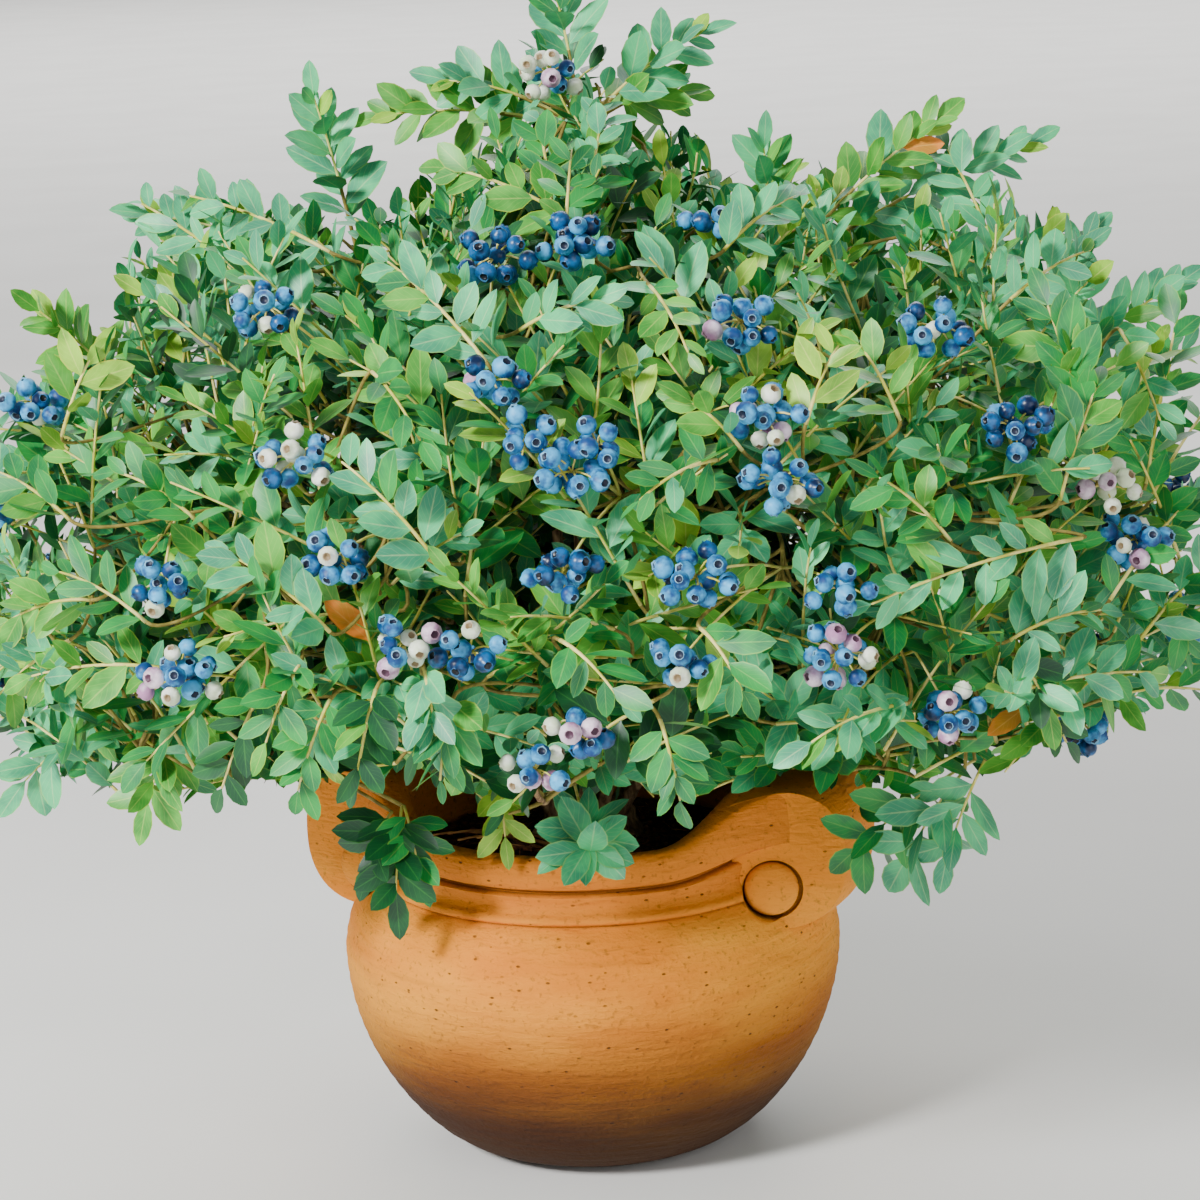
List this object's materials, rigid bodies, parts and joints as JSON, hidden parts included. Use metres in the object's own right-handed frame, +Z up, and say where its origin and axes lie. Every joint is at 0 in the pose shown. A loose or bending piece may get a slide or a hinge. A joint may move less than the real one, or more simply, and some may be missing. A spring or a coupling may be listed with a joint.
{
  "type": "potted blueberry bush",
  "caption": "Dome-shaped blueberry bush with ripe and unripe berries in a round-bellied terracotta pot with scrolled lug handles.",
  "frame": {"origin": "middle of the pot's flat underside", "axes": "+Z up, -Y towards the front of the plant as it is seen in its usual view, +X to the viewer's right; the two handles lie near the X axis, turned 18 degrees clockwise about Z"},
  "size_m": [0.8323, 0.812, 0.7675],
  "materials": {
    "terracotta": "matte",
    "soil": "matte",
    "bark": "matte",
    "leaf": "matte",
    "berry": "matte"
  },
  "bodies": {
    "root": {"pot_body": "terracotta", "handle_right": "terracotta", "handle_left": "terracotta", "scroll_eye_right_front": "terracotta", "scroll_eye_right_back": "terracotta", "scroll_eye_left_back": "terracotta", "scroll_eye_left_front": "terracotta", "potting_soil": "soil", "root_crown": "bark", "cane_lower_0": "bark", "cane_lower_1": "bark", "cane_lower_2": "bark", "cane_lower_3": "bark", "cane_lower_4": "bark", "cane_lower_5": "bark", "cane_middle_0": "bark", "cane_middle_1": "bark", "cane_middle_2": "bark", "cane_middle_3": "bark", "cane_middle_4": "bark", "cane_middle_5": "bark", "cane_upper_0": "bark", "cane_upper_1": "bark", "cane_upper_2": "bark", "cane_upper_3": "bark", "cane_top": "bark", "foliage_lower_0": "leaf", "foliage_lower_1": "leaf", "foliage_lower_2": "leaf", "foliage_lower_3": "leaf", "foliage_lower_4": "leaf", "foliage_lower_5": "leaf", "foliage_middle_0": "leaf", "foliage_middle_1": "leaf", "foliage_middle_2": "leaf", "foliage_middle_3": "leaf", "foliage_middle_4": "leaf", "foliage_middle_5": "leaf", "foliage_upper_0": "leaf", "foliage_upper_1": "leaf", "foliage_upper_2": "leaf", "foliage_upper_3": "leaf", "foliage_top": "leaf"}
  },
  "joints": []
}
